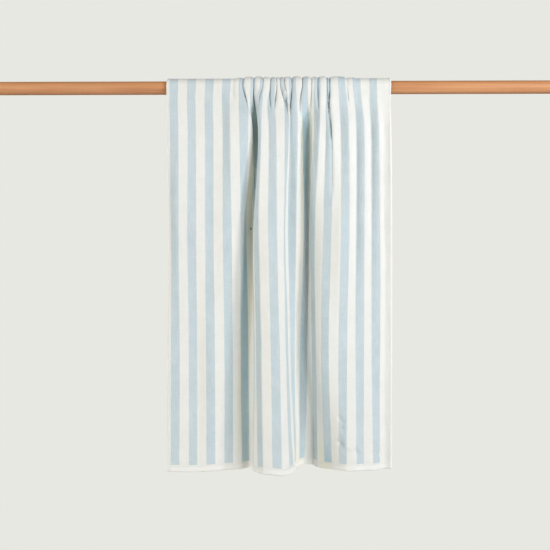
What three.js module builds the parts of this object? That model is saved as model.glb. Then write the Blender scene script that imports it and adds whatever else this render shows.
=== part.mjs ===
// A striped terry bath towel hung over a round wooden rod.
//
// Millimetres, +Z up. The rod runs along +X and starts at the origin, which is the centre of its left end.
// The towel's long front drop hangs on the -Y side and its short back drop on the +Y side.
//
// Across the cloth, "cloth" is a distance from the towel's left edge, measured on the cloth laid flat.
// Down the cloth, "drop" is a height below the rod's centre.

import * as THREE from "three";

// ---- Driving dimensions ----

const ROD_LENGTH = 1400;
const ROD_RADIUS = 15.5;
const ROD_SIDES = 40;

const TOWEL_WIDTH = 700;
const TOWEL_LENGTH = 1400;
const PILE_THICKNESS = 3;
const HEM_THICKNESS = 4.2;
const SIDE_HEM = 7;
const END_HEM = 16;
const SEAM_STEP = 5;

const TOWEL_LEFT = 448.5;
const HUNG_WIDTH = 523;
const ROD_CLEARANCE = 2.4;
const HANG_RADIUS = ROD_RADIUS + ROD_CLEARANCE + HEM_THICKNESS / 2;
const FRONT_DROP = 893;
const BACK_DROP = TOWEL_LENGTH - FRONT_DROP - Math.PI * HANG_RADIUS;

// How gently the cloth bends from one face of a fold into the next, along the cloth.
const BEND_LENGTH = 13;

// ---- The hanging folds ----

// Heights at which the front drop's section is given. "stand" is how far the left edge hangs in front of
// the rod's front, "shift" moves the left edge to the right, "width" is the hung width there, and "depth"
// is the share of the folds' depth: the gathered cloth near the rod is pressed closer.
const FRONT_LEVELS = [
  { name: "rod", drop: 0, stand: 0, shift: 0, width: HUNG_WIDTH, depth: 0 },
  { name: "brow", drop: 38, stand: 8, shift: 1, width: HUNG_WIDTH - 2, depth: 0.42 },
  { name: "neck", drop: 100, stand: 18, shift: 3.5, width: HUNG_WIDTH - 4, depth: 1.05 },
  { name: "upper", drop: 335, stand: 24, shift: 6.5, width: HUNG_WIDTH - 5, depth: 1 },
  { name: "lower", drop: 615, stand: 19, shift: 3.5, width: HUNG_WIDTH - 2, depth: 0.86 },
  { name: "hem", drop: FRONT_DROP, stand: 16, shift: 2, width: HUNG_WIDTH - 2, depth: 0.94 },
];

// Faces of the front folds, from the left edge. Each starts at "cloth" and is turned this many degrees at
// each level: + comes forward as it runs to the right, - goes back. At the rod the turn only draws it in.
const FRONT_FACES = [
  { cloth: 0, rod: 0, brow: 0, neck: 6, upper: 28, lower: 0, hem: -12 },
  { cloth: 27, rod: 18, brow: 0, neck: -12, upper: -30, lower: -22, hem: -8 },
  { cloth: 49, rod: 0, brow: 0, neck: 0, upper: 0, lower: -22, hem: -20 },
  { cloth: 70, rod: 16, brow: -8, neck: 8, upper: -26, lower: 20, hem: 2 },
  { cloth: 92, rod: 0, brow: 0, neck: 0, upper: 0, lower: 0, hem: -2 },
  { cloth: 112, rod: 28, brow: 0, neck: 0, upper: 10, lower: -18, hem: -18 },
  { cloth: 134, rod: 18, brow: 26, neck: 26, upper: 0, lower: -20, hem: -4 },
  { cloth: 155, rod: 28, brow: -8, neck: -6, upper: -22, lower: -38, hem: -14 },
  { cloth: 177, rod: 47, brow: 8, neck: -2, upper: -52, lower: -16, hem: -34 },
  { cloth: 197, rod: 52, brow: -78, neck: -54, upper: -42, lower: 50, hem: 70 },
  { cloth: 219, rod: 54, brow: -58, neck: -66, upper: 88, lower: 88, hem: 84 },
  { cloth: 240, rod: 64, brow: 88, neck: 97, upper: 88, lower: 80, hem: 61 },
  { cloth: 262, rod: 61, brow: 68, neck: 95, upper: 63, lower: 58, hem: 60 },
  { cloth: 274, rod: 61, brow: 12, neck: 58, upper: 63, lower: 58, hem: 60 },
  { cloth: 282, rod: 54, brow: -64, neck: -34, upper: 8, lower: 12, hem: 10 },
  { cloth: 304, rod: 50, brow: 32, neck: 20, upper: 0, lower: 0, hem: 0 },
  { cloth: 325, rod: 58, brow: 0, neck: 0, upper: -44, lower: -52, hem: -42 },
  { cloth: 347, rod: 64, brow: 72, neck: 75, upper: -84, lower: -77, hem: -61 },
  { cloth: 367, rod: 62, brow: -96, neck: -96, upper: -78, lower: -77, hem: -74 },
  { cloth: 389, rod: 30, brow: 0, neck: 0, upper: 0, lower: -61, hem: -87 },
  { cloth: 410, rod: 46, brow: -66, neck: -64, upper: -36, lower: -56, hem: -66 },
  { cloth: 432, rod: 56, brow: -34, neck: -26, upper: -50, lower: -10, hem: -54 },
  { cloth: 452, rod: 48, brow: 52, neck: 62, upper: 90, lower: 60, hem: -14 },
  { cloth: 463, rod: 48, brow: 54, neck: 64, upper: 88, lower: 64, hem: -14 },
  { cloth: 474, rod: 40, brow: 46, neck: 62, upper: 62, lower: 69, hem: 58 },
  { cloth: 495, rod: 56, brow: -66, neck: -55, upper: 32, lower: 62, hem: 46 },
  { cloth: 517, rod: 53, brow: 52, neck: 36, upper: 14, lower: 32, hem: 33 },
  { cloth: 537, rod: 45, brow: -40, neck: -38, upper: 22, lower: 4, hem: 45 },
  { cloth: 559, rod: 35, brow: 30, neck: 30, upper: -10, lower: -10, hem: 38 },
  { cloth: 580, rod: 40, brow: -38, neck: -36, upper: -42, lower: -28, hem: 6 },
  { cloth: 602, rod: 20, brow: 38, neck: 28, upper: 26, lower: -12, hem: -32 },
  { cloth: 622, rod: 18, brow: -36, neck: -44, upper: -44, lower: -34, hem: 0 },
  { cloth: 644, rod: 32, brow: 32, neck: 34, upper: 20, lower: -12, hem: -38 },
  { cloth: 665, rod: 18, brow: -36, neck: -46, upper: -50, lower: -48, hem: -48 },
  { cloth: 682, rod: 18, brow: 10, neck: 14, upper: 16, lower: 16, hem: 18 },
];

// Tucks that the cloth is gathered into over the rod. Each starts at "cloth", stands this "height" off the
// rod and has melted into the folds at "reach" below it.
const TUCKS = [
  { cloth: 164, height: 2, reach: 60 },
  { cloth: 191, height: 4.5, reach: 90 },
  { cloth: 233, height: 5, reach: 80 },
  { cloth: 277, height: 4, reach: 70 },
  { cloth: 308, height: 3.5, reach: 70 },
  { cloth: 332, height: 3.5, reach: 80 },
  { cloth: 348, height: 3.5, reach: 80 },
  { cloth: 372, height: 4.5, reach: 110 },
  { cloth: 399, height: 5, reach: 110 },
  { cloth: 431, height: 4.5, reach: 90 },
  { cloth: 466, height: 4, reach: 80 },
  { cloth: 486, height: 5, reach: 90 },
  { cloth: 521, height: 3, reach: 80 },
  { cloth: 535, height: 4.5, reach: 110 },
  { cloth: 585, height: 2, reach: 60 },
  { cloth: 612, height: 0, reach: 60 },
];

// Sections of the back drop, as for the front. Here + comes out to the back.
const BACK_LEVELS = [
  { name: "rod", drop: 0, stand: 0, shift: 0, width: HUNG_WIDTH, depth: 0 },
  { name: "neck", drop: 110, stand: 14, shift: 2, width: HUNG_WIDTH - 4, depth: 0.8 },
  { name: "hem", drop: BACK_DROP, stand: 22, shift: 5, width: HUNG_WIDTH - 10, depth: 0.75 },
];

const BACK_FACES = [
  { cloth: 0, rod: 5, neck: -4, hem: -6 },
  { cloth: 92, rod: 5, neck: 4, hem: 5 },
  { cloth: 134, rod: 22, neck: 18, hem: 24 },
  { cloth: 177, rod: 53, neck: 64, hem: 64 },
  { cloth: 208, rod: 57, neck: -60, hem: -34 },
  { cloth: 240, rod: 62, neck: -58, hem: -70 },
  { cloth: 272, rod: 56, neck: 60, hem: 28 },
  { cloth: 304, rod: 60, neck: 60, hem: 72 },
  { cloth: 336, rod: 66, neck: -60, hem: 50 },
  { cloth: 367, rod: 50, neck: -48, hem: -54 },
  { cloth: 399, rod: 36, neck: 46, hem: -68 },
  { cloth: 432, rod: 45, neck: 62, hem: -26 },
  { cloth: 463, rod: 48, neck: -62, hem: 58 },
  { cloth: 495, rod: 55, neck: -42, hem: 66 },
  { cloth: 527, rod: 50, neck: 46, hem: -52 },
  { cloth: 559, rod: 37, neck: 32, hem: -46 },
  { cloth: 602, rod: 26, neck: -34, hem: -8 },
  { cloth: 644, rod: 20, neck: -16, hem: 8 },
];

// Where the front hem is drawn up above its straight line, as soft humps centred on "cloth".
const HEM_LIFTS = [
  { cloth: 70, lift: -3, span: 160 },
  { cloth: 200, lift: 3, span: 60 },
  { cloth: 330, lift: -3, span: 80 },
  { cloth: 450, lift: 6, span: 90 },
];

// ---- Where the sheet is divided, across and down ----

// Stretches of columns between two cloth positions, close together where the folds are.
const COLUMN_RUNS = [
  { to: SIDE_HEM, count: 1 },
  { to: SIDE_HEM + SEAM_STEP, count: 1 },
  { to: 164, count: 7 },
  { to: 612, count: 62 },
  { to: TOWEL_WIDTH - SIDE_HEM - SEAM_STEP, count: 5 },
  { to: TOWEL_WIDTH - SIDE_HEM, count: 1 },
  { to: TOWEL_WIDTH, count: 1 },
];

const FRONT_ROWS = [20, 40, 66, 100, 155, 235, 335, 470, 615, 760, ...hemRows(FRONT_DROP)];
const BACK_ROWS = [30, 65, 110, 170, 260, 350, ...hemRows(BACK_DROP)];
const WRAP_STEPS = 8;

// Rows round an end hem: the thin cloth beside its seam, the seam and the hem's edge.
function hemRows(drop) {
  return [drop - END_HEM - SEAM_STEP, drop - END_HEM, drop];
}

// ---- Sections ----

const toRadians = THREE.MathUtils.degToRad;

function smooth(t) {
  const clamped = Math.min(1, Math.max(0, t));
  return clamped * clamped * (3 - 2 * clamped);
}

// The turn of the cloth at each millimetre across it, rounded where one face bends into the next.
function turnsAcross(faces, level) {
  const sharp = [];
  let face = 0;
  for (let cloth = 0; cloth <= TOWEL_WIDTH; cloth += 1) {
    while (face + 1 < faces.length && faces[face + 1].cloth <= cloth) {
      face += 1;
    }
    sharp.push(toRadians(faces[face][level]));
  }
  const half = Math.round(BEND_LENGTH / 2);
  return sharp.map((_, cloth) => {
    let sum = 0;
    let weight = 0;
    for (let step = -half; step <= half; step += 1) {
      const near = Math.min(TOWEL_WIDTH, Math.max(0, cloth + step));
      const share = half + 1 - Math.abs(step);
      sum += share * sharp[near];
      weight += share;
    }
    return sum / weight;
  });
}

// Adds up the turns of one level to the cloth's place: "x" along the rod and "depth" out from it.
function sectionOf(faces, level) {
  const turns = turnsAcross(faces, level.name);
  const x = [0];
  const depth = [0];
  for (let cloth = 1; cloth <= TOWEL_WIDTH; cloth += 1) {
    const turn = (turns[cloth] + turns[cloth - 1]) / 2;
    x.push(x[cloth - 1] + Math.cos(turn));
    depth.push(depth[cloth - 1] + Math.sin(turn));
  }
  const fit = level.width / x[TOWEL_WIDTH];
  return {
    drop: level.drop,
    x: x.map((value) => TOWEL_LEFT + level.shift + value * fit),
    depth: depth.map((value) => level.stand + value * level.depth),
  };
}

function readAcross(values, cloth) {
  const below = Math.min(TOWEL_WIDTH - 1, Math.floor(cloth));
  return THREE.MathUtils.lerp(values[below], values[below + 1], cloth - below);
}

// A smooth curve through one value per level, read at a drop.
function readDown(sections, values, drop) {
  const last = sections.length - 1;
  const slope = (k) => {
    const before = Math.max(0, k - 1);
    const after = Math.min(last, k + 1);
    return (values[after] - values[before]) / (sections[after].drop - sections[before].drop);
  };
  let k = 0;
  while (k < last - 1 && drop > sections[k + 1].drop) {
    k += 1;
  }
  const span = sections[k + 1].drop - sections[k].drop;
  const t = (drop - sections[k].drop) / span;
  const ease = smooth(t);
  const leave = t * (1 - t) * (1 - t) * span * slope(k);
  const arrive = t * t * (t - 1) * span * slope(k + 1);
  return values[k] + (values[k + 1] - values[k]) * ease + leave + arrive;
}

function tuckHeight(cloth, drop) {
  for (let k = 0; k + 1 < TUCKS.length; k += 1) {
    const start = TUCKS[k].cloth;
    const end = TUCKS[k + 1].cloth;
    if (cloth >= start && cloth < end) {
      const crown = Math.sin((Math.PI * (cloth - start)) / (end - start));
      return TUCKS[k].height * crown * (1 - smooth(drop / TUCKS[k].reach));
    }
  }
  return 0;
}

function hemLift(cloth) {
  return HEM_LIFTS.reduce((sum, hump) => {
    const away = Math.abs(cloth - hump.cloth) / (hump.span / 2);
    return sum + hump.lift * (1 - smooth(away));
  }, 0);
}

// ---- The towel ----

const frontSections = FRONT_LEVELS.map((level) => sectionOf(FRONT_FACES, level));
const backSections = BACK_LEVELS.map((level) => sectionOf(BACK_FACES, level));

function hangingPoint(sections, cloth, drop, side) {
  const xs = sections.map((section) => readAcross(section.x, cloth));
  const depths = sections.map((section) => readAcross(section.depth, cloth));
  const x = readDown(sections, xs, drop);
  const out = HANG_RADIUS + readDown(sections, depths, drop) + tuckHeight(cloth, drop);
  const lift = side < 0 ? hemLift(cloth) * (drop / FRONT_DROP) : 0;
  return new THREE.Vector3(x, side * out, lift - drop);
}

function wrapPoint(cloth, angle) {
  const frontX = readAcross(frontSections[0].x, cloth);
  const backX = readAcross(backSections[0].x, cloth);
  const x = THREE.MathUtils.lerp(frontX, backX, angle / Math.PI);
  const radius = HANG_RADIUS + tuckHeight(cloth, 0);
  return new THREE.Vector3(x, -radius * Math.cos(angle), radius * Math.sin(angle));
}

// The middle of the cloth, as rows of points from the front hem over the rod to the back hem.
function clothGrid(columns) {
  const front = [...FRONT_ROWS].reverse();
  const grid = front.map((drop) => columns.map((cloth) => hangingPoint(frontSections, cloth, drop, -1)));
  for (let step = 0; step <= WRAP_STEPS; step += 1) {
    const angle = (Math.PI * step) / WRAP_STEPS;
    grid.push(columns.map((cloth) => wrapPoint(cloth, angle)));
  }
  for (const drop of BACK_ROWS) {
    grid.push(columns.map((cloth) => hangingPoint(backSections, cloth, drop, 1)));
  }
  return grid;
}

function columnPlaces() {
  const places = [0];
  for (const run of COLUMN_RUNS) {
    const start = places[places.length - 1];
    for (let k = 1; k <= run.count; k += 1) {
      places.push(start + ((run.to - start) * k) / run.count);
    }
  }
  return places;
}

// Gives the grid its thickness: an outer and an inner face joined round the four hems.
function thickSheet(grid, isHem) {
  const rows = grid.length;
  const columns = grid[0].length;
  const normalAt = (row, column) => {
    const down = new THREE.Vector3().subVectors(
      grid[Math.min(rows - 1, row + 1)][column],
      grid[Math.max(0, row - 1)][column],
    );
    const across = new THREE.Vector3().subVectors(
      grid[row][Math.min(columns - 1, column + 1)],
      grid[row][Math.max(0, column - 1)],
    );
    return across.cross(down).normalize();
  };
  const positions = [];
  for (const side of [1, -1]) {
    for (let row = 0; row < rows; row += 1) {
      for (let column = 0; column < columns; column += 1) {
        const thickness = isHem(row, column) ? HEM_THICKNESS : PILE_THICKNESS;
        const offset = normalAt(row, column).multiplyScalar((side * thickness) / 2);
        const point = grid[row][column].clone().add(offset);
        positions.push(point.x, point.y, point.z);
      }
    }
  }
  const outer = (row, column) => row * columns + column;
  const inner = (row, column) => rows * columns + outer(row, column);
  const indices = [];
  const quad = (a, b, c, d) => indices.push(a, b, c, a, c, d);
  for (let row = 0; row + 1 < rows; row += 1) {
    for (let column = 0; column + 1 < columns; column += 1) {
      quad(outer(row, column), outer(row, column + 1), outer(row + 1, column + 1), outer(row + 1, column));
      quad(inner(row, column), inner(row + 1, column), inner(row + 1, column + 1), inner(row, column + 1));
    }
  }
  for (let column = 0; column + 1 < columns; column += 1) {
    quad(inner(0, column), inner(0, column + 1), outer(0, column + 1), outer(0, column));
    const end = rows - 1;
    quad(outer(end, column), outer(end, column + 1), inner(end, column + 1), inner(end, column));
  }
  for (let row = 0; row + 1 < rows; row += 1) {
    const end = columns - 1;
    quad(outer(row, 0), outer(row + 1, 0), inner(row + 1, 0), inner(row, 0));
    quad(inner(row, end), inner(row + 1, end), outer(row + 1, end), outer(row, end));
  }
  const geometry = new THREE.BufferGeometry();
  geometry.setAttribute("position", new THREE.Float32BufferAttribute(positions, 3));
  geometry.setIndex(indices);
  geometry.computeVertexNormals();
  return geometry;
}

function makeTowel() {
  const columns = columnPlaces();
  const grid = clothGrid(columns);
  const isHem = (row, column) => {
    const atSide = columns[column] <= SIDE_HEM || columns[column] >= TOWEL_WIDTH - SIDE_HEM;
    const atEnd = row <= 1 || row >= grid.length - 2;
    return atSide || atEnd;
  };
  const terry = new THREE.MeshStandardMaterial({ color: "#d8dfe0", roughness: 0.95, metalness: 0 });
  const towel = new THREE.Mesh(thickSheet(grid, isHem), terry);
  towel.name = "towel";
  return towel;
}

// ---- The rod ----

function makeRod() {
  const geometry = new THREE.CylinderGeometry(ROD_RADIUS, ROD_RADIUS, ROD_LENGTH, ROD_SIDES);
  const wood = new THREE.MeshStandardMaterial({ color: "#cd8c5f", roughness: 0.55, metalness: 0 });
  const rod = new THREE.Mesh(geometry, wood);
  rod.rotation.z = -Math.PI / 2;
  rod.position.x = ROD_LENGTH / 2;
  rod.name = "rod";
  return rod;
}

const hungTowel = new THREE.Group();
hungTowel.add(makeTowel());
hungTowel.add(makeRod());

export default hungTowel;
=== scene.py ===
"""A striped terry bath towel hung over a round wooden rod.

Metres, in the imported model's frame: the rod runs along +X from the origin, which is the centre of its left
end, the front drop hangs on the -Y side, and +Z is up. The fold tables are in millimetres. Across the
cloth, "cloth" is a distance from the towel's left edge on the cloth laid flat. Down the cloth, "drop" is a
height below the rod's centre, and "along" a distance from the front hem.
"""

import math

import bpy
import numpy as np
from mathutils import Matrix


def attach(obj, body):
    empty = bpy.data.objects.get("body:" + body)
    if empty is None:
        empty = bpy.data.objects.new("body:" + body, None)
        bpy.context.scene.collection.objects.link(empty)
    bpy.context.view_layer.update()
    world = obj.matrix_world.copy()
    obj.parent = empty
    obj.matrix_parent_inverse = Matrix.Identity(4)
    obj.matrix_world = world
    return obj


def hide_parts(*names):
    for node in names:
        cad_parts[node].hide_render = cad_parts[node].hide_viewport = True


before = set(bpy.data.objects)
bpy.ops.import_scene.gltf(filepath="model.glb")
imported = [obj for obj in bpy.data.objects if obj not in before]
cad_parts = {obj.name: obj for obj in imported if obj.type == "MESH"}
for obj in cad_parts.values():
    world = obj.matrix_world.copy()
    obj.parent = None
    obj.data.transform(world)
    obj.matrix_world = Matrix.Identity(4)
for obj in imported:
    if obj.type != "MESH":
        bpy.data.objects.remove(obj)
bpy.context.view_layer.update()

MM = 0.001

# ---- Sizes of the solids that the looks are fitted over, in millimetres ----

ROD_LENGTH = 1400
ROD_RADIUS = 15.5

TOWEL_WIDTH = 700
TOWEL_LENGTH = 1400
PILE_THICKNESS = 3
HEM_THICKNESS = 4.2
SIDE_HEM = 7
END_HEM = 16

TOWEL_LEFT = 448.5
HUNG_WIDTH = 523
ROD_CLEARANCE = 2.4
HANG_RADIUS = ROD_RADIUS + ROD_CLEARANCE + HEM_THICKNESS / 2
FRONT_DROP = 893
BACK_DROP = TOWEL_LENGTH - FRONT_DROP - math.pi * HANG_RADIUS
BEND_LENGTH = 13


# Yarn-dyed stripes, from the inner edge of the left hem.
BLUE_STRIPE = 20.5
CREAM_STRIPE = 22
BLUE_STRIPES = 16


def rows(columns, *values):
    """A short table as a list of dictionaries."""
    return [dict(zip(columns.split(), row, strict=True)) for row in values]


# A hem's seam is drawn in at "size" from the cloth's edge. The edge is rounded down to a share of the
# thickness over "rounding".
HEMS = rows(
    "name size step seam_depth seam_width rounding",
    ("side", SIDE_HEM, 1.5, 0.4, 1.2, 2.5),
    ("end", END_HEM, 2, 0.9, 1.5, 3),
)
EDGE_SHARE = 0.35


# ---- The hanging folds: a row for each level and each face ----

FRONT_LEVELS = rows(
    "name drop stand shift width depth",
    ("rod", 0, 0, 0, HUNG_WIDTH, 0),
    ("brow", 38, 8, 1, HUNG_WIDTH - 2, 0.42),
    ("neck", 100, 18, 3.5, HUNG_WIDTH - 4, 1.05),
    ("upper", 335, 24, 6.5, HUNG_WIDTH - 5, 1),
    ("lower", 615, 19, 3.5, HUNG_WIDTH - 2, 0.86),
    ("hem", FRONT_DROP, 16, 2, HUNG_WIDTH - 2, 0.94),
)

# Each face starts at "cloth" and is turned this many degrees at each level: + comes forward to the right.
FRONT_FACES = rows(
    "cloth rod brow neck upper lower hem",
    (0, 0, 0, 6, 28, 0, -12),
    (27, 18, 0, -12, -30, -22, -8),
    (49, 0, 0, 0, 0, -22, -20),
    (70, 16, -8, 8, -26, 20, 2),
    (92, 0, 0, 0, 0, 0, -2),
    (112, 28, 0, 0, 10, -18, -18),
    (134, 18, 26, 26, 0, -20, -4),
    (155, 28, -8, -6, -22, -38, -14),
    (177, 47, 8, -2, -52, -16, -34),
    (197, 52, -78, -54, -42, 50, 70),
    (219, 54, -58, -66, 88, 88, 84),
    (240, 64, 88, 97, 88, 80, 61),
    (262, 61, 68, 95, 63, 58, 60),
    (274, 61, 12, 58, 63, 58, 60),
    (282, 54, -64, -34, 8, 12, 10),
    (304, 50, 32, 20, 0, 0, 0),
    (325, 58, 0, 0, -44, -52, -42),
    (347, 64, 72, 75, -84, -77, -61),
    (367, 62, -96, -96, -78, -77, -74),
    (389, 30, 0, 0, 0, -61, -87),
    (410, 46, -66, -64, -36, -56, -66),
    (432, 56, -34, -26, -50, -10, -54),
    (452, 48, 52, 62, 90, 60, -14),
    (463, 48, 54, 64, 88, 64, -14),
    (474, 40, 46, 62, 62, 69, 58),
    (495, 56, -66, -55, 32, 62, 46),
    (517, 53, 52, 36, 14, 32, 33),
    (537, 45, -40, -38, 22, 4, 45),
    (559, 35, 30, 30, -10, -10, 38),
    (580, 40, -38, -36, -42, -28, 6),
    (602, 20, 38, 28, 26, -12, -32),
    (622, 18, -36, -44, -44, -34, 0),
    (644, 32, 32, 34, 20, -12, -38),
    (665, 18, -36, -46, -50, -48, -48),
    (682, 18, 10, 14, 16, 16, 18),
)

BACK_LEVELS = rows(
    "name drop stand shift width depth",
    ("rod", 0, 0, 0, HUNG_WIDTH, 0),
    ("neck", 110, 14, 2, HUNG_WIDTH - 4, 0.8),
    ("hem", BACK_DROP, 22, 5, HUNG_WIDTH - 10, 0.75),
)

BACK_FACES = rows(
    "cloth rod neck hem",
    (0, 5, -4, -6),
    (92, 5, 4, 5),
    (134, 22, 18, 24),
    (177, 53, 64, 64),
    (208, 57, -60, -34),
    (240, 62, -58, -70),
    (272, 56, 60, 28),
    (304, 60, 60, 72),
    (336, 66, -60, 50),
    (367, 50, -48, -54),
    (399, 36, 46, -68),
    (432, 45, 62, -26),
    (463, 48, -62, 58),
    (495, 55, -42, 66),
    (527, 50, 46, -52),
    (559, 37, 32, -46),
    (602, 26, -34, -8),
    (644, 20, -16, 8),
)

# Tucks that the cloth is gathered into over the rod, each melted into the folds at "reach" below it. A slit
# is pressed in where a tuck starts. That place moves across by "lean" with each LEAN_STEP below the rod, as
# far as LEAN_END.
TUCKS = rows(
    "cloth height reach slit lean",
    (164, 2, 60, 0.4, 0),
    (191, 4.5, 90, 2.2, 5),
    (233, 5, 80, 2.8, 3),
    (277, 4, 70, 2.4, -4),
    (308, 3.5, 70, 2.4, 4),
    (332, 3.5, 80, 2.4, -4),
    (348, 3.5, 80, 2.2, 3),
    (372, 4.5, 110, 2.5, 5),
    (399, 5, 110, 1.8, -3),
    (431, 4.5, 90, 2.4, -4),
    (466, 4, 80, 1.6, -2),
    (486, 5, 90, 2.4, 3),
    (521, 3, 80, 1.8, 2),
    (530, 4.5, 110, 2.5, 3),
    (585, 2, 60, 0.8, -2),
    (612, 0, 60, 0.3, 0),
)

LEAN_STEP = 30
LEAN_END = 60

# The gathers are round, and swell by a share of their height below the rod, from and to these drops.
HEAD_ROUNDNESS = 0.4
HEAD_SWELL = 0.5
SWELL_START = (0, 14)
SWELL_END = (24, 64)

# The slits: their half width, how many times their depth they gain below the rod, between which drops, and
# the share of the pile that each millimetre of depth presses away.
SLIT_WIDTH = 2.6
SLIT_GROWTH = 3
SLIT_GROWS = (6, 22)
SLIT_PRESS = 0.22

# Where the front hem is drawn up above its straight line, as soft humps centred on "cloth".
HEM_LIFTS = rows(
    "cloth lift span",
    (70, -3, 160),
    (200, 3, 60),
    (330, -3, 80),
    (450, 6, 90),
)

# Creases laid into the front: a soft trough (-) or ridge (+) from one point to another, bowed
# sideways in its middle.
CREASES = rows(
    "cloth drop to_cloth to_drop bow width height",
    (20, 230, 72, 480, 0, 14, -1.6),
    (518, 285, 520, 322, 2, 5, -1.8),
    (677, 140, 678, 400, 0, 5, -1.5),
    (556, 766, 576, 782, 0, 3.5, -3.2),
    (564, 788, 577, 800, 0, 3.5, -2.8),
    (552, 820, 580, 836, 0, 4.5, -6),
    (572, 822, 606, 842, -6, 5, 3.5),
    (596, 834, 614, 864, 0, 5, -5),
    (630, 852, 672, 862, 3, 5, -3.5),
    (529, 12, 532, 130, 0, 4.5, -10),
    (532, 70, 537, 270, 0, 5, -5),
    (222, 20, 226, 290, 0, 8, -7),
    (248, 12, 250, 300, 0, 9, -5.5),
)

# The share of a crease's length over which it fades in, and out again.
CREASE_FADE = 0.25

# Where the front's folds lean sideways ("shift") or stand out ("out") between the levels, as soft humps
# centred on "cloth" and "drop". They fade in between two drops below the rod.
LEANS = rows(
    "cloth drop span reach shift out",
    (270, 130, 45, 190, 4.2, 0),
    (367, 80, 15, 170, 0, -20),
    (205, 560, 18, 220, 0, -6),
    (450, 800, 16, 160, 0, 12),
    (541, 50, 16, 110, -3, 0),
)
LEANS_START = (14, 36)

# Slight unevenness of the whole cloth: long soft waves, "lean" tilting each one.
RIPPLES = rows(
    "across along lean height start",
    (260, 900, 0.2, 1.4, 0.3),
    (145, 520, -0.3, 0.9, 1.9),
    (83, 310, 0.5, 0.45, 4.1),
    (51, 170, -0.6, 0.25, 0.8),
    (34, 95, 0.4, 0.15, 2.7),
)

# Stretches of grid lines between two places, close together at the folds and hems.
COLUMN_RUNS = rows(
    "to count",
    (SIDE_HEM, 4),
    (SIDE_HEM + 3, 2),
    (164, 32),
    (612, 206),
    (TOWEL_WIDTH - SIDE_HEM - 3, 18),
    (TOWEL_WIDTH - SIDE_HEM, 2),
    (TOWEL_WIDTH, 4),
)
DROP_RUNS = rows(
    "from_hem count",
    (END_HEM - 3, 6),
    (END_HEM + 3, 4),
    (134, 25),
)
WRAP_STEPS = 16
FRONT_ROWS = {"middle": 52, "near_rod": 14}
BACK_ROWS = {"middle": 20, "near_rod": 10}
NEAR_ROD = 60

# A place counts as in a fold when the cloth on both sides of it, this near, stands further out; the terry's
# painted shade follows how deep it lies there.
FOLD_REACH = 60
FOLD_START = 6
FOLD_DEPTH = 22

# The ripples die out within this distance of the rod.
RIPPLE_FREE = 120


# ---- Sections ----


def smooth(t):
    """Eases from 0 to 1 as t does."""
    t = np.clip(t, 0, 1)
    return t * t * (3 - 2 * t)


def ramp(value, start, end):
    """Eases from 0 at start to 1 at end."""
    return smooth((value - start) / (end - start))


def bell(t):
    """A soft hump, 1 in its middle."""
    return np.exp(-(t**2))


def turns_across(faces, level):
    """The turn of the cloth at each millimetre across it, rounded where one face bends into the next."""
    cloth = np.arange(TOWEL_WIDTH + 1)
    starts = np.array([face["cloth"] for face in faces])
    turns = np.radians([face[level] for face in faces])
    sharp = turns[np.searchsorted(starts, cloth, side="right") - 1]
    half = round(BEND_LENGTH / 2)
    shares = half + 1 - np.abs(np.arange(-half, half + 1))
    padded = np.pad(sharp, half, mode="edge")
    return np.convolve(padded, shares / shares.sum(), mode="valid")


def section_of(faces, level, cloth):
    """Adds up the turns of one level to the cloth's place: x along the rod and depth out from it."""
    turns = turns_across(faces, level["name"])
    middles = (turns[1:] + turns[:-1]) / 2
    x = np.concatenate([[0], np.cumsum(np.cos(middles))])
    depth = np.concatenate([[0], np.cumsum(np.sin(middles))])
    x = TOWEL_LEFT + level["shift"] + x * level["width"] / x[-1]
    depth = level["stand"] + depth * level["depth"]
    every = np.arange(TOWEL_WIDTH + 1)
    return np.interp(cloth, every, x), np.interp(cloth, every, depth)


def read_down(drops, values, drop):
    """A smooth curve down the cloth through one row of values per level."""
    drops = np.asarray(drops, float)
    values = np.asarray(values)
    last = len(drops) - 1
    k = min(int(np.searchsorted(drops, drop, side="left")), last) - 1
    k = max(k, 0)
    span = drops[k + 1] - drops[k]
    t = (drop - drops[k]) / span

    def slope(i):
        before, after = max(0, i - 1), min(last, i + 1)
        return (values[after] - values[before]) / (drops[after] - drops[before])

    ease = smooth(t)
    leave = t * (1 - t) ** 2 * span * slope(k)
    arrive = t * t * (t - 1) * span * slope(k + 1)
    return values[k] + (values[k + 1] - values[k]) * ease + leave + arrive


def tuck_start(tuck, drop):
    """Where a tuck starts across the cloth, as it leans on its way down."""
    return tuck["cloth"] + tuck["lean"] * (min(drop, LEAN_END) / LEAN_STEP)


def tuck_height(cloth, drop):
    """How far the gathers stand off the rod, with a slit drawn in between one and the next."""
    height = np.zeros_like(cloth)
    swell = 1 + HEAD_SWELL * ramp(drop, *SWELL_START) * (1 - ramp(drop, *SWELL_END))
    for tuck, after in zip(TUCKS, TUCKS[1:], strict=False):
        start = tuck_start(tuck, drop)
        t = (cloth - start) / (tuck_start(after, drop) - start)
        inside = (t >= 0) & (t < 1)
        fade = 1 - smooth(drop / tuck["reach"])
        crown = np.sin(np.pi * np.clip(t, 0, 1)) ** HEAD_ROUNDNESS
        height += np.where(inside, tuck["height"] * crown * fade * swell, 0)
    below_rod = 1 + SLIT_GROWTH * ramp(drop, *SLIT_GROWS)
    return height - slit_depth(cloth, drop) * below_rod


def slit_depth(cloth, drop):
    """How deep the slits between the gathers are pressed in."""
    depth = np.zeros_like(cloth)
    for tuck in TUCKS:
        away = cloth - tuck_start(tuck, drop)
        depth += tuck["slit"] * bell(away / SLIT_WIDTH) * (1 - smooth(drop / tuck["reach"]))
    return depth


def hem_lift(cloth):
    """How far the front hem is drawn up."""
    lift = np.zeros_like(cloth)
    for hump in HEM_LIFTS:
        lift += hump["lift"] * (1 - smooth(np.abs(cloth - hump["cloth"]) / (hump["span"] / 2)))
    return lift


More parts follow.
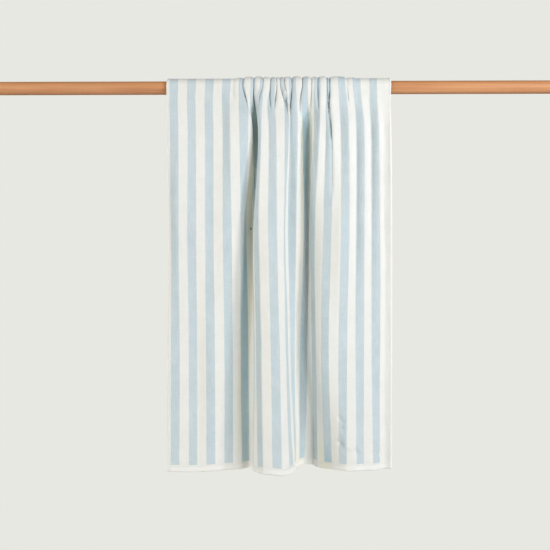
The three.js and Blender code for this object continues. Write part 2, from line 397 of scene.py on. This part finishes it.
def fold_lean(cloth, drop):
    """Moves of the front along the rod and out from it."""
    shift, out = np.zeros_like(cloth), np.zeros_like(cloth)
    for hump in LEANS:
        near = 1 - smooth(abs(drop - hump["drop"]) / hump["reach"])
        share = near * ramp(drop, *LEANS_START) * bell((cloth - hump["cloth"]) / hump["span"])
        shift += hump["shift"] * share
        out += hump["out"] * share
    return shift, out


def crease_height(cloth, drop):
    """The listed creases of the front drop."""
    height = np.zeros_like(cloth)
    for crease in CREASES:
        start = np.array([crease["cloth"], crease["drop"]], float)
        run = np.array([crease["to_cloth"], crease["to_drop"]], float) - start
        length = np.hypot(*run)
        t = ((cloth - start[0]) * run[0] + (drop - start[1]) * run[1]) / length**2
        side = ((cloth - start[0]) * run[1] - (drop - start[1]) * run[0]) / length
        side = side - crease["bow"] * 4 * np.clip(t, 0, 1) * (1 - np.clip(t, 0, 1))
        ends = smooth(t / CREASE_FADE) * smooth((1 - t) / CREASE_FADE)
        height += crease["height"] * bell(side / crease["width"]) * ends
    return height


def ripple_height(cloth, along):
    """The slight unevenness of the whole cloth."""
    height = np.zeros_like(cloth)
    for wave in RIPPLES:
        down = along / wave["along"]
        across = cloth / wave["across"] + wave["lean"] * down
        sideways = np.sin(2 * np.pi * across + wave["start"])
        height += wave["height"] * sideways * np.cos(2 * np.pi * down + 2 * wave["start"])
    return height


# ---- The towel's sheet ----


def link_mesh(name, verts, faces):
    """A smooth-shaded object in the scene."""
    mesh = bpy.data.meshes.new(name)
    mesh.from_pydata(verts, [], faces)
    mesh.validate()
    mesh.shade_smooth()
    made = bpy.data.objects.new(name, mesh)
    bpy.context.collection.objects.link(made)
    return made


def column_places():
    """Where the grid's lines lie across the cloth."""
    places = [0.0]
    for run in COLUMN_RUNS:
        places += list(np.linspace(places[-1], run["to"], run["count"] + 1)[1:])
    return np.array(places)


def drop_rows(drop, counts):
    """Heights from the hem up to just below the rod, closer at the hem and near the rod."""
    from_hem = [0.0]
    for run in DROP_RUNS:
        from_hem += list(np.linspace(from_hem[-1], run["from_hem"], run["count"] + 1)[1:])
    near_rod = drop - NEAR_ROD
    from_hem += list(np.linspace(from_hem[-1], near_rod, counts["middle"] + 1)[1:])
    from_hem += list(np.linspace(near_rod, drop, counts["near_rod"] + 1)[1:-1])
    return drop - np.array(from_hem)


def hanging_rows(faces, levels, drops, side, cloth):
    """Rows of points down one drop, in millimetres."""
    sections = [section_of(faces, level, cloth) for level in levels]
    heights = [level["drop"] for level in levels]
    grid = []
    for drop in drops:
        x = read_down(heights, [section[0] for section in sections], drop)
        out = HANG_RADIUS + read_down(heights, [section[1] for section in sections], drop)
        out = out + tuck_height(cloth, drop)
        z = -drop * np.ones_like(cloth)
        if side < 0:
            shift, further = fold_lean(cloth, drop)
            x, out = x + shift, out + further
            z = z + hem_lift(cloth) * drop / FRONT_DROP
        grid.append(np.stack([x, side * out, z], axis=1))
    return grid


def wrap_rows(cloth):
    """Rows of points over the rod, in millimetres."""
    front = section_of(FRONT_FACES, FRONT_LEVELS[0], cloth)[0]
    back = section_of(BACK_FACES, BACK_LEVELS[0], cloth)[0]
    radius = HANG_RADIUS + tuck_height(cloth, 0)
    grid = []
    for angle in np.linspace(0, math.pi, WRAP_STEPS + 1):
        x = front + (back - front) * angle / math.pi
        grid.append(np.stack([x, -radius * math.cos(angle), radius * math.sin(angle)], axis=1))
    return grid


def outward(grid):
    """Unit normals of the sheet's middle, away from the rod."""
    across = np.gradient(grid, axis=1)
    up = np.gradient(grid, axis=0)
    normal = np.cross(across, up)
    return normal / np.linalg.norm(normal, axis=2, keepdims=True)


def fold_depth(row, cloth):
    """How deep each place of one row lies between the folds on both sides of it, from 0 to 1."""
    every = np.arange(TOWEL_WIDTH + 1)
    out = np.interp(every, cloth, np.abs(row[:, 1]))
    padded = np.pad(out, FOLD_REACH, mode="edge")
    tops = np.lib.stride_tricks.sliding_window_view(padded, FOLD_REACH + 1).max(axis=1)
    between = np.minimum(tops[: len(every)], tops[FOLD_REACH:])
    return np.interp(cloth, every, smooth((between - out - FOLD_START) / FOLD_DEPTH))


def sheet_thickness(cloth, along):
    """Pile, with the turned hems thicker, drawn in at their seams and rounded at their edges."""
    from_side = np.minimum(cloth, TOWEL_WIDTH - cloth)[None, :]
    from_end = np.minimum(along, TOWEL_LENGTH - along)[:, None]
    hems, seams, edge = 0, 0, 1
    for inside, hem in zip((from_side, from_end), HEMS, strict=True):
        past = inside - hem["size"]
        hems = np.maximum(hems, HEM_THICKNESS * (1 - smooth((past + 1) / hem["step"])))
        seams = np.maximum(seams, hem["seam_depth"] * bell(past / hem["seam_width"]))
        edge = edge * smooth(inside / hem["rounding"])
    thickness = np.maximum(PILE_THICKNESS, hems) - seams
    return thickness * (EDGE_SHARE + (1 - EDGE_SHARE) * np.sqrt(edge))


def sheet_grid(cloth, front_drops, back_drops, along):
    """The sheet's middle as rows of points from the front hem over the rod to the back hem."""
    grid = np.array(
        hanging_rows(FRONT_FACES, FRONT_LEVELS, front_drops, -1, cloth)
        + wrap_rows(cloth)
        + hanging_rows(BACK_FACES, BACK_LEVELS, back_drops, 1, cloth)
    )
    across_all, along_all = np.meshgrid(cloth, along)
    over_rod = FRONT_DROP + math.pi * HANG_RADIUS / 2
    free = smooth(np.abs(along_all - over_rod) / RIPPLE_FREE)
    relief = crease_height(across_all, FRONT_DROP - along_all)
    relief += ripple_height(across_all, along_all) * free
    return grid + outward(grid) * relief[:, :, None]


def sheet_faces(row_count, column_count):
    """Quads of the outer side, the inner side and the rim round them."""
    index = np.arange(row_count * column_count).reshape(row_count, column_count)
    far = index.size
    a, b = index[:-1, :-1].ravel(), index[:-1, 1:].ravel()
    c, d = index[1:, 1:].ravel(), index[1:, :-1].ravel()
    faces = [np.stack([a, b, c, d], 1), np.stack([a, d, c, b], 1) + far]
    for rim in (index[0, ::-1], index[-1], index[:, 0], index[::-1, -1]):
        faces.append(np.stack([rim[:-1], rim[1:], rim[1:] + far, rim[:-1] + far], 1))
    return np.concatenate(faces)


def add_cloth_uv(mesh, cloth, along):
    """Gives each corner its place on the flat cloth, in metres, the same on both sides of the sheet."""
    across_all, along_all = np.meshgrid(cloth, along)
    place = np.tile(np.stack([across_all.ravel(), along_all.ravel()], 1) * MM, (2, 1))
    corners = np.empty(len(mesh.loops), dtype=np.int32)
    mesh.loops.foreach_get("vertex_index", corners)
    uv = mesh.uv_layers.new(name="cloth")
    uv.data.foreach_set("uv", place[corners].astype(np.float32).ravel())


def make_towel():
    """The whole sheet, with the depth of its folds as an attribute for the terry's painted shade."""
    cloth = column_places()
    front_drops = drop_rows(FRONT_DROP, FRONT_ROWS)
    back_drops = drop_rows(BACK_DROP, BACK_ROWS)[::-1]
    angles = np.linspace(0, math.pi, WRAP_STEPS + 1)
    along = np.concatenate(
        [
            FRONT_DROP - front_drops,
            FRONT_DROP + HANG_RADIUS * angles,
            FRONT_DROP + math.pi * HANG_RADIUS + back_drops,
        ]
    )
    grid = sheet_grid(cloth, front_drops, back_drops, along)

    # The pile is pressed thin in the slits.
    drops = np.concatenate([front_drops, np.zeros(len(angles)), back_drops])
    pressed = np.array([slit_depth(cloth, drop) for drop in drops]) * SLIT_PRESS
    half = sheet_thickness(cloth, along) * (1 - pressed) / 2
    away = outward(grid) * half[:, :, None]
    verts = np.concatenate([(grid + away).reshape(-1, 3), (grid - away).reshape(-1, 3)]) * MM
    faces = sheet_faces(len(along), len(cloth))

    towel = link_mesh("towel_cloth", verts.tolist(), faces.tolist())
    add_cloth_uv(towel.data, cloth, along)
    # How deep each place lies in a fold, kept as an attribute that the terry's painted shade reads.
    folds = np.concatenate([fold_depth(row, cloth) for row in grid])
    fold = towel.data.attributes.new("fold", "FLOAT", "POINT")
    fold.data.foreach_set("value", np.tile(folds, 2).astype(np.float32))
    return towel


# ---- The rod ----

ROD_ROUND = 96
ROD_EASE = 1.2
CORNER_SHARE = 0.3
ROD_STEPS = 28


def make_rod():
    """A smooth round rod with slightly eased ends."""
    corner = ROD_EASE * CORNER_SHARE
    ends = [(0, ROD_RADIUS - ROD_EASE), (corner, ROD_RADIUS - corner), (ROD_EASE, ROD_RADIUS)]
    profile = ends + [(x, ROD_RADIUS) for x in np.linspace(0, ROD_LENGTH, ROD_STEPS + 1)[1:-1]]
    profile += [(ROD_LENGTH - x, radius) for x, radius in reversed(ends)]
    angles = np.linspace(0, 2 * math.pi, ROD_ROUND, endpoint=False)
    verts = [
        (x * MM, radius * math.cos(angle) * MM, radius * math.sin(angle) * MM)
        for x, radius in profile
        for angle in angles
    ]
    faces = []
    for ring in range(len(profile) - 1):
        for k in range(ROD_ROUND):
            after = (k + 1) % ROD_ROUND
            low, high = ring * ROD_ROUND, (ring + 1) * ROD_ROUND
            faces.append((low + k, high + k, high + after, low + after))
    last = (len(profile) - 1) * ROD_ROUND
    faces.append(tuple(range(ROD_ROUND)))
    faces.append(tuple(last + k for k in reversed(range(ROD_ROUND))))
    rod = link_mesh("rod_wood", verts, faces)
    for end in rod.data.polygons[-2:]:
        end.use_smooth = False
    return rod


# ---- Materials ----


class Nodes:
    """Short calls for building one material's nodes."""

    def __init__(self, name):
        self.material = bpy.data.materials.new(name)
        self.material.use_nodes = True
        self.tree = self.material.node_tree
        self.shader = self.tree.nodes["Principled BSDF"]

    def add(self, kind, **settings):
        node = self.tree.nodes.new(kind)
        for key, value in settings.items():
            setattr(node, key, value)
        return node

    def link(self, value, socket):
        if isinstance(value, bpy.types.NodeSocket):
            self.tree.links.new(value, socket)
        elif isinstance(value, tuple) and len(value) == 3 and socket.type == "RGBA":
            socket.default_value = (*value, 1)
        else:
            socket.default_value = value

    def math(self, operation, *values):
        node = self.add("ShaderNodeMath", operation=operation)
        for value, socket in zip(values, node.inputs, strict=False):
            self.link(value, socket)
        return node.outputs[0]

    def plus(self, first, second):
        return self.math("ADD", first, second)

    def minus(self, first, second):
        return self.math("SUBTRACT", first, second)

    def times(self, first, second):
        return self.math("MULTIPLY", first, second)

    def larger(self, first, second):
        return self.math("MAXIMUM", first, second)

    def step(self, value, low, high):
        """0 below low, 1 above high, with a soft step between (low may be above high)."""
        node = self.add("ShaderNodeMapRange", interpolation_type="SMOOTHSTEP", clamp=True)
        self.link(value, node.inputs["Value"])
        node.inputs["From Min"].default_value = min(low, high)
        node.inputs["From Max"].default_value = max(low, high)
        node.inputs["To Min"].default_value = 0 if low < high else 1
        node.inputs["To Max"].default_value = 1 if low < high else 0
        return node.outputs["Result"]

    def mix(self, share, first, second, blend="MIX"):
        node = self.add("ShaderNodeMix", data_type="RGBA", blend_type=blend)
        self.link(share, node.inputs["Factor"])
        self.link(first, node.inputs[6])
        self.link(second, node.inputs[7])
        return node.outputs[2]

    def combine(self, x, y, z):
        node = self.add("ShaderNodeCombineXYZ")
        for value, socket in zip((x, y, z), node.inputs, strict=True):
            self.link(value, socket)
        return node.outputs[0]

    def noise(self, vector, scale, detail, roughness):
        node = self.add("ShaderNodeTexNoise")
        self.link(vector, node.inputs["Vector"])
        node.inputs["Scale"].default_value = scale
        node.inputs["Detail"].default_value = detail
        node.inputs["Roughness"].default_value = roughness
        return node.outputs["Fac"]

    def bump(self, height, distance, strength):
        node = self.add("ShaderNodeBump")
        node.inputs["Distance"].default_value = distance
        node.inputs["Strength"].default_value = strength
        self.link(height, node.inputs["Height"])
        return node.outputs["Normal"]


BLUE = (0.63, 0.705, 0.722)
BLUE_DEEP = (0.53, 0.62, 0.646)
CREAM = (0.855, 0.852, 0.806)
CREAM_DEEP = (0.80, 0.795, 0.738)
HEM_CREAM = (0.88, 0.865, 0.81)
# Painted shade where the cloth lies deep in a fold: multipliers that darken and tint the blue and the cream.
BLUE_FOLD_SHADE = (0.78, 0.92, 0.96)
CREAM_FOLD_SHADE = (1.0, 0.97, 0.88)
# The painted shade of the seam dents.
SEAM_SHADE_COLOUR = (0.62, 0.59, 0.52)
THREAD_COLOUR = (0.9, 0.885, 0.84)
SPECK = {"across": 212, "along": 562, "width": 5, "length": 5.5, "colour": (0.16, 0.16, 0.10)}

# Noise over the cloth, in cells per millimetre, and its share in the tone of the dye. "layer" sets one
# stretched noise apart from another.
RAGGED = {"scale": 0.55, "detail": 3, "roughness": 0.6}
GRAIN = {"scale": 0.42, "detail": 4, "roughness": 0.7, "share": 0.4}
STREAKS = {"across": 0.35, "along": 0.035, "layer": 0, "detail": 4, "roughness": 0.6, "share": 0.6}
PATCHES = {"across": 0.03, "along": 0.018, "layer": 3, "detail": 3, "roughness": 0.55, "share": 0.5}
RIBS = {"across": 0.05, "along": 0.33, "layer": 7, "detail": 2, "roughness": 0.5, "share": 0.3}
TONE_RANGE = (0.25, 0.8)

# Stripe edges wander over this width, and are blurred by this much each way, in millimetres.
RAGGED_WIDTH = 2.4
STRIPE_BLUR = 0.6

# A hem's look starts between these distances past its size. The speck's starts between these values of the
# square of the distance from its middle, counted in radii.
END_HEM_EDGE = (0.8, -0.4)
SIDE_HEM_EDGE = (0.4, -0.4)
SPECK_EDGE = (1.3, 0.5)

# Stitches run this far outside a hem's seam, one to every two steps, in millimetres. The pairs are where a
# soft edge starts and ends.
END_STITCH_IN = 2.5
SIDE_STITCH_IN = 2
STITCH_STEP = 1.7
STITCH_EDGE = (0.9, 0.3)
STITCH_GAP = (0.3, 0.7)
END_DENT_EDGE = (1.8, 0.4)
SIDE_DENT_EDGE = (1.6, 0.4)
# Shares by which the dents are painted towards the seam's shade colour, as painted shade in their grooves,
# and the stitches towards the thread's colour.
DENT_SHADE = 0.22
THREAD_SHADE = 0.7

# Relief of the pile, hems and stitches: its full height in millimetres, and shares of it.
RELIEF = 0.6
RELIEF_STRENGTH = 0.9
LOOPS_SCALE = 0.62
LOOP_HEIGHT = 0.6
GRAIN_HEIGHT = 0.9
RIB_HEIGHT = 0.5
WEAVE_ACROSS = 5.2
WEAVE_ALONG = 4.6
WEAVE_HEIGHT = 0.12
HEM_LEVEL = 0.2
HEM_FLATNESS = 0.85
DENT_DEPTH = 0.8
STITCH_HEIGHT = 0.9


def split_place(n, place):
    """The separate numbers of a place."""
    split = n.add("ShaderNodeSeparateXYZ")
    n.link(place, split.inputs[0])
    return split.outputs


def even_noise(n, place, look):
    """Noise with cells as long as they are wide."""
    return n.noise(place, look["scale"], look["detail"], look["roughness"])


def stretched_noise(n, across, along, look):
    """Noise over the cloth with cells of its own length and width."""
    place = n.combine(n.times(across, look["across"]), n.times(along, look["along"]), look["layer"])
    return n.noise(place, 1, look["detail"], look["roughness"])


def blue_stripes(n, across, place):
    """1 on the blue stripes and 0 on the cream ones, their edges ragged by the loops of the pile."""
    wander = n.math("MULTIPLY_ADD", even_noise(n, place, RAGGED), RAGGED_WIDTH, -RAGGED_WIDTH / 2)
    shifted = n.minus(n.plus(across, wander), SIDE_HEM)
    pitch = BLUE_STRIPE + CREAM_STRIPE
    within = n.math("WRAP", shifted, pitch, 0)
    off_centre = n.math("ABSOLUTE", n.minus(within, BLUE_STRIPE / 2))
    blue = n.step(off_centre, BLUE_STRIPE / 2 + STRIPE_BLUR, BLUE_STRIPE / 2 - STRIPE_BLUR)
    last_edge = SIDE_HEM + pitch * BLUE_STRIPES - CREAM_STRIPE / 2
    return n.times(blue, n.step(across, last_edge + 1, last_edge))


def dye_tone(n, across, along, grain, ribs):
    """Uneven dye and nap: soft patches, streaks down the warp and a fine grain of loops."""
    streaks = stretched_noise(n, across, along, STREAKS)
    patches = stretched_noise(n, across, along, PATCHES)
    tone = n.math("MULTIPLY_ADD", grain, GRAIN["share"], n.times(streaks, STREAKS["share"]))
    tone = n.plus(tone, n.times(n.minus(patches, 0.5), PATCHES["share"]))
    tone = n.plus(tone, n.times(n.minus(ribs, 0.5), RIBS["share"]))
    return n.step(tone, *TONE_RANGE)


def dyed_colour(n, blue, hem, tone):
    """The stripes and hems, with painted shade: the colour darkened and deepened where the cloth lies deep
    in a fold.
    """
    colour = n.mix(blue, n.mix(tone, CREAM_DEEP, CREAM), n.mix(tone, BLUE_DEEP, BLUE))
    colour = n.mix(hem, colour, n.mix(tone, CREAM, HEM_CREAM))
    fold = n.add("ShaderNodeAttribute", attribute_name="fold").outputs["Fac"]
    # Painted shade: darker, deeper colour on the blue and the cream where the cloth lies deep in a fold.
    colour = n.mix(n.times(fold, blue), colour, BLUE_FOLD_SHADE, "MULTIPLY")
    return n.mix(n.times(fold, n.minus(1, blue)), colour, CREAM_FOLD_SHADE, "MULTIPLY")


def add_speck(n, across, along, colour):
    """A small stray speck caught in the pile."""
    sideways = n.math("DIVIDE", n.minus(across, SPECK["across"]), SPECK["width"] / 2)
    down = n.math("DIVIDE", n.minus(along, SPECK["along"]), SPECK["length"] / 2)
    speck = n.plus(n.math("POWER", sideways, 2), n.math("POWER", down, 2))
    return n.mix(n.step(speck, *SPECK_EDGE), colour, SPECK["colour"])


def hem_stitches(n, across, along, from_side, from_end):
    """Rows of lock stitches along the hems: the dents that they are drawn into, and their short threads."""
    end_line = n.math("ABSOLUTE", n.minus(from_end, END_HEM - END_STITCH_IN))
    side_line = n.math("ABSOLUTE", n.minus(from_side, SIDE_HEM - SIDE_STITCH_IN))
    in_side = n.step(from_side, SIDE_HEM - SIDE_STITCH_IN - 1, SIDE_HEM - SIDE_STITCH_IN)
    end_dash = n.step(n.math("PINGPONG", across, STITCH_STEP), *STITCH_GAP)
    side_dash = n.step(n.math("PINGPONG", along, STITCH_STEP), *STITCH_GAP)
    end_stitch = n.times(n.times(n.step(end_line, *STITCH_EDGE), end_dash), in_side)
    side_stitch = n.times(n.step(side_line, *STITCH_EDGE), side_dash)
    end_dent = n.times(n.step(end_line, *END_DENT_EDGE), in_side)
    dent = n.larger(end_dent, n.step(side_line, *SIDE_DENT_EDGE))
    return dent, n.larger(end_stitch, side_stitch)


def pile_height(n, place, grain, ribs):
    """Loops of the pile."""
    loops = n.add("ShaderNodeTexVoronoi", feature="F1")
    n.link(place, loops.inputs["Vector"])
    loops.inputs["Scale"].default_value = LOOPS_SCALE
    uneven = n.times(grain, GRAIN_HEIGHT)
    pile = n.math("MULTIPLY_ADD", loops.outputs["Distance"], -LOOP_HEIGHT, uneven)
    return n.plus(pile, n.times(ribs, RIB_HEIGHT))


def hem_height(n, across, along):
    """The flatter weave of the hems."""
    over = n.math("SINE", n.times(across, WEAVE_ACROSS))
    under = n.math("SINE", n.times(along, WEAVE_ALONG))
    return n.math("MULTIPLY_ADD", n.times(over, under), WEAVE_HEIGHT, HEM_LEVEL)


def terry_material():
    """Sheared terry with woven stripes, flat cream hems, stitching and a soft nap, with painted shade in the
    folds and the seam dents.
    """
    n = Nodes("terry")
    uv = split_place(n, n.add("ShaderNodeUVMap", uv_map="cloth").outputs["UV"])
    across, along = n.times(uv[0], 1 / MM), n.times(uv[1], 1 / MM)
    place = n.combine(across, along, 0)

    # Distance in from the nearest side and end, and the hems.
    from_side = n.math("MINIMUM", across, n.minus(TOWEL_WIDTH, across))
    from_end = n.math("MINIMUM", along, n.minus(TOWEL_LENGTH, along))
    end_hem = n.step(from_end, *(END_HEM + past for past in END_HEM_EDGE))
    side_hem = n.step(from_side, *(SIDE_HEM + past for past in SIDE_HEM_EDGE))
    hem = n.larger(end_hem, side_hem)

    blue = n.times(blue_stripes(n, across, place), n.minus(1, hem))
    grain = even_noise(n, place, GRAIN)
    ribs = stretched_noise(n, across, along, RIBS)
    colour = dyed_colour(n, blue, hem, dye_tone(n, across, along, grain, ribs))
    colour = add_speck(n, across, along, colour)
    dent, stitch = hem_stitches(n, across, along, from_side, from_end)
    # Painted shade in the seam dents.
    colour = n.mix(n.times(dent, DENT_SHADE), colour, SEAM_SHADE_COLOUR)
    colour = n.mix(n.times(stitch, THREAD_SHADE), colour, THREAD_COLOUR)
    n.link(colour, n.shader.inputs["Base Color"])

    share = n.times(hem, HEM_FLATNESS)
    pile = n.times(pile_height(n, place, grain, ribs), n.minus(1, share))
    height = n.plus(pile, n.times(hem_height(n, across, along), share))
    height = n.minus(height, n.times(dent, DENT_DEPTH))
    height = n.plus(height, n.times(stitch, STITCH_HEIGHT))
    n.link(n.bump(height, RELIEF * MM, RELIEF_STRENGTH), n.shader.inputs["Normal"])

    n.shader.inputs["Roughness"].default_value = 0.95
    n.shader.inputs["Specular IOR Level"].default_value = 0.15
    n.shader.inputs["Sheen Weight"].default_value = 0.12
    n.shader.inputs["Sheen Roughness"].default_value = 0.6
    return n.material


WOOD_DARK = (0.48, 0.20, 0.085)
WOOD_LIGHT = (0.70, 0.33, 0.135)
WOOD_PATCH = (0.61, 0.285, 0.125)

# Noise through the wood, in cells per metre along the rod and through it, and its share in the tone.
BANDS = {"along": 2.2, "through": 70, "detail": 4, "roughness": 0.6, "share": 0.65}
FIBRES = {"along": 9, "through": 420, "detail": 3, "roughness": 0.6, "share": 0.35}
WOOD_PATCHES = {"along": 5, "through": 25, "detail": 2, "roughness": 0.5}
WOOD_TONE_RANGE = (0.3, 0.72)
WOOD_PATCH_RANGE = (0.45, 0.8)

# How much the fibres add to the roughness, and the roughness between them.
FIBRE_ROUGHNESS = (0.25, 0.4)

# Relief of the fibres in millimetres.
FIBRE_RELIEF = 0.25
FIBRE_STRENGTH = 0.5


def wood_noise(n, xyz, look):
    """Noise through the wood, drawn out along the rod."""
    scales = (look["along"], look["through"], look["through"])
    place = n.combine(*(n.times(value, scale) for value, scale in zip(xyz, scales, strict=True)))
    return n.noise(place, 1, look["detail"], look["roughness"])


def wood_material():
    """Oiled wood with fine lengthwise grain and a few darker streaks."""
    n = Nodes("rod_grain")
    xyz = list(split_place(n, n.add("ShaderNodeTexCoord").outputs["Object"]))
    bands = wood_noise(n, xyz, BANDS)
    fibres = wood_noise(n, xyz, FIBRES)
    patches = wood_noise(n, xyz, WOOD_PATCHES)
    tone = n.math("MULTIPLY_ADD", fibres, FIBRES["share"], n.times(bands, BANDS["share"]))
    colour = n.mix(n.step(tone, *WOOD_TONE_RANGE), WOOD_DARK, WOOD_LIGHT)
    colour = n.mix(n.step(patches, *WOOD_PATCH_RANGE), colour, WOOD_PATCH)
    n.link(colour, n.shader.inputs["Base Color"])
    rough = n.math("MULTIPLY_ADD", fibres, *FIBRE_ROUGHNESS)
    n.link(rough, n.shader.inputs["Roughness"])
    n.link(n.bump(fibres, FIBRE_RELIEF * MM, FIBRE_STRENGTH), n.shader.inputs["Normal"])
    return n.material


FLOOR_SHADE = (0.70, 0.70, 0.67)
FLOOR_LIGHT = (0.76, 0.76, 0.73)
FLOOR_UNEVEN = {"scale": 3, "detail": 3, "roughness": 0.5}


def floor_material():
    """Plain, faintly uneven floor."""
    n = Nodes("floor_plain")
    tone = even_noise(n, n.add("ShaderNodeTexCoord").outputs["Object"], FLOOR_UNEVEN)
    n.link(n.mix(tone, FLOOR_SHADE, FLOOR_LIGHT), n.shader.inputs["Base Color"])
    n.shader.inputs["Roughness"].default_value = 0.8
    return n.material


# ---- The camera, the light and the floor ----

CAMERA_DISTANCE = 2.45
CAMERA_HEIGHT = -0.439
CAMERA_X = 0.7
VIEW_ANGLE = 29.5
SENSOR_WIDTH = 36
CAMERA_ROLL = 0.16


def make_camera():
    """Stands in front of the towel, where the photograph was taken from."""
    data = bpy.data.cameras.new("camera")
    data.sensor_width = SENSOR_WIDTH
    data.lens = SENSOR_WIDTH / 2 / math.tan(math.radians(VIEW_ANGLE / 2))
    camera = bpy.data.objects.new("camera", data)
    camera.location = (CAMERA_X, -CAMERA_DISTANCE, CAMERA_HEIGHT)
    camera.rotation_euler = (math.radians(90), math.radians(CAMERA_ROLL), 0)
    bpy.context.collection.objects.link(camera)
    bpy.context.scene.camera = camera


PLAIN_LIGHT = (0.985, 1, 1.05)
WARM_LIGHT = (1, 0.99, 0.97)

# Soft round lamps, each aimed at the towel's middle: azimuth 0 stands in front of it and 90 to its right.
LAMPS = rows(
    "name azimuth elevation distance size power colour",
    ("right", 56, 17, 2.6, 0.6, 29, PLAIN_LIGHT),
    ("right_front", 38, 17, 2.6, 0.6, 25, PLAIN_LIGHT),
    ("left", -64, 17, 2.6, 0.8, 21.3, WARM_LIGHT),
    ("left_front", -40, 17, 2.6, 0.6, 15.8, WARM_LIGHT),
    ("rear_right", 140, 20, 2.6, 1.0, 45, PLAIN_LIGHT),
    ("rear_left", -135, 20, 2.6, 1.0, 45, PLAIN_LIGHT),
)
LAMP_TARGET = (0.7, 0, -0.42)


def make_lamps():
    """Lights the towel from both sides in front, and softly from behind."""
    for lamp in LAMPS:
        data = bpy.data.lights.new(lamp["name"], "AREA")
        data.shape = "DISK"
        data.size = lamp["size"]
        data.energy = lamp["power"]
        data.color = lamp["colour"]
        azimuth, elevation = math.radians(lamp["azimuth"]), math.radians(lamp["elevation"])
        level = lamp["distance"] * math.cos(elevation)
        light = bpy.data.objects.new(lamp["name"], data)
        light.location = (
            LAMP_TARGET[0] + level * math.sin(azimuth),
            LAMP_TARGET[1] - level * math.cos(azimuth),
            LAMP_TARGET[2] + lamp["distance"] * math.sin(elevation),
        )
        light.rotation_euler = (math.pi / 2 - elevation, 0, azimuth)
        bpy.context.collection.objects.link(light)


# The grey that the camera sees behind the towel, and the faint warm light that everything else gets.
WORLD_SEEN = (0.806, 0.806, 0.761, 1)
WORLD_LIGHT = (1.0, 0.96, 0.80, 1)
WORLD_STRENGTH = 0.07


def make_world():
    """A plain grey surround, which lights the towel only faintly."""
    world = bpy.data.worlds.new("studio")
    world.use_nodes = True
    tree = world.node_tree
    seen = tree.nodes["Background"]
    seen.inputs["Color"].default_value = WORLD_SEEN
    lit = tree.nodes.new("ShaderNodeBackground")
    lit.inputs["Color"].default_value = WORLD_LIGHT
    lit.inputs["Strength"].default_value = WORLD_STRENGTH
    path = tree.nodes.new("ShaderNodeLightPath")
    mix = tree.nodes.new("ShaderNodeMixShader")
    tree.links.new(path.outputs["Is Camera Ray"], mix.inputs[0])
    tree.links.new(lit.outputs[0], mix.inputs[1])
    tree.links.new(seen.outputs[0], mix.inputs[2])
    tree.links.new(mix.outputs[0], tree.nodes["World Output"].inputs["Surface"])
    bpy.context.scene.world = world


FLOOR = {"left": -1.1, "right": 2.5, "near": -1.7, "far": 0.75, "height": -1.32}


def make_floor():
    """A plain floor below the towel."""
    sides = (("left", "near"), ("right", "near"), ("right", "far"), ("left", "far"))
    corners = [(FLOOR[x], FLOOR[y], FLOOR["height"]) for x, y in sides]
    floor = link_mesh("floor", corners, [(0, 1, 2, 3)])
    floor.data.materials.append(floor_material())


make_camera()
make_world()
make_lamps()
make_floor()

towel = make_towel()
towel.data.materials.append(terry_material())
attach(towel, "root")
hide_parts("towel")

rod = make_rod()
rod.data.materials.append(wood_material())
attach(rod, "root")
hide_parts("rod")

bpy.context.scene.view_settings.view_transform = "Standard"
